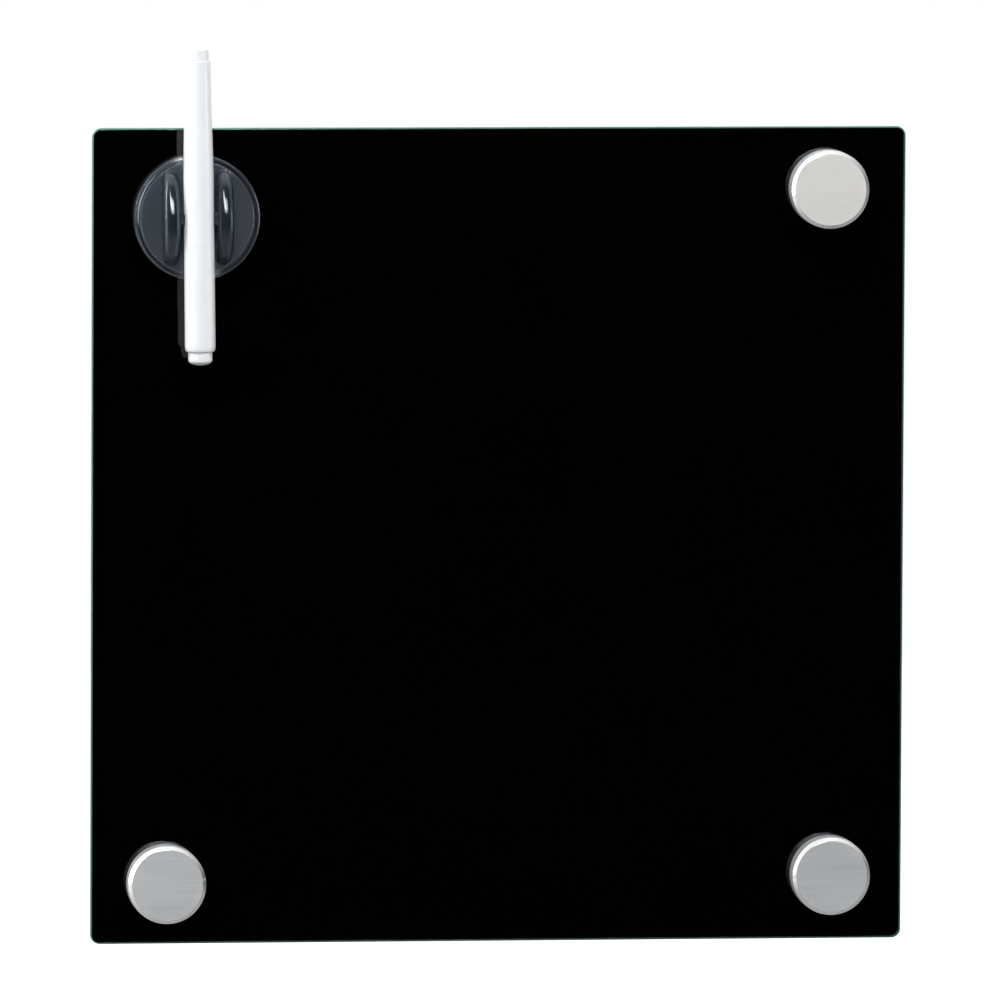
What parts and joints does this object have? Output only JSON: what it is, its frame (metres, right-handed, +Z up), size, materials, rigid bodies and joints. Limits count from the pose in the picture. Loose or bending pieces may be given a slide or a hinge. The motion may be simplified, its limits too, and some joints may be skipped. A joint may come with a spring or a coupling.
{
  "type": "magnetic glass board",
  "caption": "Square black-backed magnetic glass wall board with round metal magnets and a clear magnetic pen holder that carries a white marker.",
  "frame": {"origin": "on the wall plane, behind the middle of the glass pane", "axes": "+Z up, +X to the viewer's right, +Y into the wall, so the writing face looks along -Y"},
  "size_m": [0.35, 0.0377, 0.385],
  "materials": {
    "float_glass": "clear toughened float glass, green at its edges, ground arris",
    "black_film": "deep black, seen through the glass",
    "foam_tape": "white double-sided foam tape",
    "galvanised_steel": "galvanised sheet with a faint spangle",
    "zinc_plated_steel": "bright zinc plate",
    "rivet_metal": "plain",
    "black_rubber": "matt moulded rubber",
    "satin_steel": "brushed face and side, polished bevel",
    "black_plastic": "moulded, matt",
    "nickel_plate": "nickel-plated neodymium",
    "soft_pad": "thin soft foam",
    "clear_plastic": "clear, faintly blue, glossy moulding",
    "ferrite": "sintered, dark grey, matt",
    "white_plastic": "glossy white",
    "ink_fibre": "bonded polyester fibre",
    "inked_felt": "felt soaked with black ink"
  },
  "bodies": {
    "board": {"glass_pane": "float_glass", "backing_film": "black_film", "tape_strip_1": "foam_tape", "tape_strip_2": "foam_tape", "tape_strip_3": "foam_tape", "tape_strip_4": "foam_tape", "tape_strip_5": "foam_tape", "steel_back_tray": "galvanised_steel", "hanger_left": "zinc_plated_steel", "hanger_right": "zinc_plated_steel", "rivet_left_a": "rivet_metal", "rivet_left_b": "rivet_metal", "rivet_right_a": "rivet_metal", "rivet_right_b": "rivet_metal", "bumper_left": "black_rubber", "bumper_right": "black_rubber"},
    "magnet_top_right": {"magnet_shell_top_right": "satin_steel", "magnet_core_top_right": "black_plastic", "magnet_disc_top_right": "nickel_plate", "magnet_pad_top_right": "soft_pad"},
    "magnet_bottom_left": {"magnet_shell_bottom_left": "satin_steel", "magnet_core_bottom_left": "black_plastic", "magnet_disc_bottom_left": "nickel_plate", "magnet_pad_bottom_left": "soft_pad"},
    "magnet_bottom_right": {"magnet_shell_bottom_right": "satin_steel", "magnet_core_bottom_right": "black_plastic", "magnet_disc_bottom_right": "nickel_plate", "magnet_pad_bottom_right": "soft_pad"},
    "pen_holder": {"holder_body": "clear_plastic", "holder_magnet": "ferrite", "holder_base": "black_plastic", "holder_pad": "soft_pad"},
    "pen": {"pen_barrel": "white_plastic", "pen_end_plug": "white_plastic", "pen_reservoir": "ink_fibre", "pen_nib_section": "white_plastic", "pen_nib": "inked_felt"},
    "cap": {"pen_cap": "white_plastic"}
  },
  "joints": [
    {"name": "pull_off_top_right", "type": "slide", "parent": "board", "child": "magnet_top_right", "axis": [0, -1, 0], "range_m": [0, 0.05]},
    {"name": "pull_off_bottom_left", "type": "slide", "parent": "board", "child": "magnet_bottom_left", "axis": [0, -1, 0], "range_m": [0, 0.05]},
    {"name": "pull_off_bottom_right", "type": "slide", "parent": "board", "child": "magnet_bottom_right", "axis": [0, -1, 0], "range_m": [0, 0.05]},
    {"name": "pull_off_holder", "type": "slide", "parent": "board", "child": "pen_holder", "axis": [0, -1, 0], "range_m": [0, 0.05]},
    {"name": "pen_slide", "type": "slide", "parent": "pen_holder", "child": "pen", "axis": [-0.0133, 0, 0.9999], "range_m": [-0.06, 0.095]},
    {"name": "cap_off", "type": "slide", "parent": "pen", "child": "cap", "axis": [0.0133, 0, -0.9999], "range_m": [0, 0.055]}
  ]
}
